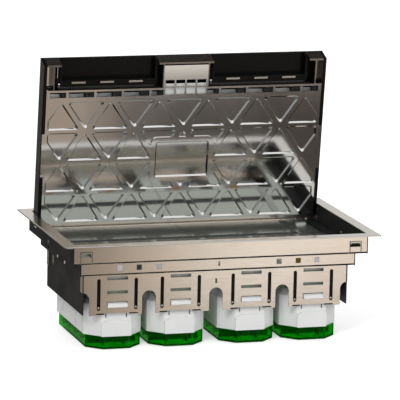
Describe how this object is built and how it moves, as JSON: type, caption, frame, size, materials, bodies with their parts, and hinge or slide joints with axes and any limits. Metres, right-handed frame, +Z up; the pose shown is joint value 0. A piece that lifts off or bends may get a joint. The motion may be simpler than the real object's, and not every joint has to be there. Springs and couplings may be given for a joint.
{
  "type": "floor socket box",
  "caption": "Floor socket box with a stepped steel body, outlet housings below, and a hinged lid standing open, with a triangle-pressed inner panel and cable flaps.",
  "frame": {"origin": "centre of the footprint at the lowest face, the underside of the wiring covers", "axes": "+Z up; +X along the length of the box; the lid is hinged on the +Y side"},
  "size_m": [0.3, 0.182, 0.2509],
  "materials": {
    "satin_steel": "satin",
    "bright_steel": "bright",
    "mirror_steel": "polished",
    "dark_coat": "satin",
    "lid_black": "satin",
    "zinc": "bright",
    "black_plastic": "satin",
    "white_plastic": "gloss",
    "green_plastic": "clear tint",
    "brass": "bright"
  },
  "bodies": {
    "box": {"contacts_1": "brass", "contacts_2": "brass", "contacts_3": "brass", "contacts_4": "brass", "corner_clips": "zinc", "front_guide_rails": "black_plastic", "front_plate_left": "mirror_steel", "front_plate_right": "mirror_steel", "front_wall": "bright_steel", "hinge_bracket_left": "dark_coat", "hinge_bracket_right": "dark_coat", "hinge_pins": "zinc", "left_end_wall": "dark_coat", "outlet_1": "white_plastic", "outlet_2": "white_plastic", "outlet_3": "white_plastic", "outlet_4": "white_plastic", "outlet_housing_1": "white_plastic", "outlet_housing_2": "white_plastic", "outlet_housing_3": "white_plastic", "outlet_housing_4": "white_plastic", "plate_screws": "zinc", "rail_rivets": "zinc", "rear_guide_rails": "black_plastic", "rear_plate_left": "mirror_steel", "rear_plate_right": "mirror_steel", "rear_wall": "bright_steel", "ribbed_strip": "mirror_steel", "right_end_wall": "dark_coat", "support_bar": "dark_coat", "trim_frame": "satin_steel", "wiring_cover_1": "green_plastic", "wiring_cover_2": "green_plastic", "wiring_cover_3": "green_plastic", "wiring_cover_4": "green_plastic"},
    "lid": {"flap_carrier_left": "lid_black", "flap_carrier_right": "lid_black", "flap_pins": "zinc", "lid_end_cap_left": "mirror_steel", "lid_end_cap_right": "mirror_steel", "lid_handle": "mirror_steel", "lid_panel": "mirror_steel", "lid_tray": "lid_black"},
    "left_flap": {"cable_flap_left": "black_plastic", "flap_springs_left": "zinc"},
    "right_flap": {"cable_flap_right": "black_plastic", "flap_springs_right": "zinc"}
  },
  "joints": [
    {"name": "lid_hinge", "type": "hinge", "parent": "box", "child": "lid", "pos_m": [0, 0.0741, 0.09835], "axis": [-1, 0, 0], "range_deg": [-82.7, 22.3]},
    {"name": "left_flap_hinge", "type": "hinge", "parent": "lid", "child": "left_flap", "pos_m": [-0.0737, 0.058, 0.22836], "axis": [-1, 0, 0], "range_deg": [0, 100]},
    {"name": "right_flap_hinge", "type": "hinge", "parent": "lid", "child": "right_flap", "pos_m": [0.0737, 0.058, 0.22836], "axis": [-1, 0, 0], "range_deg": [0, 100]}
  ]
}
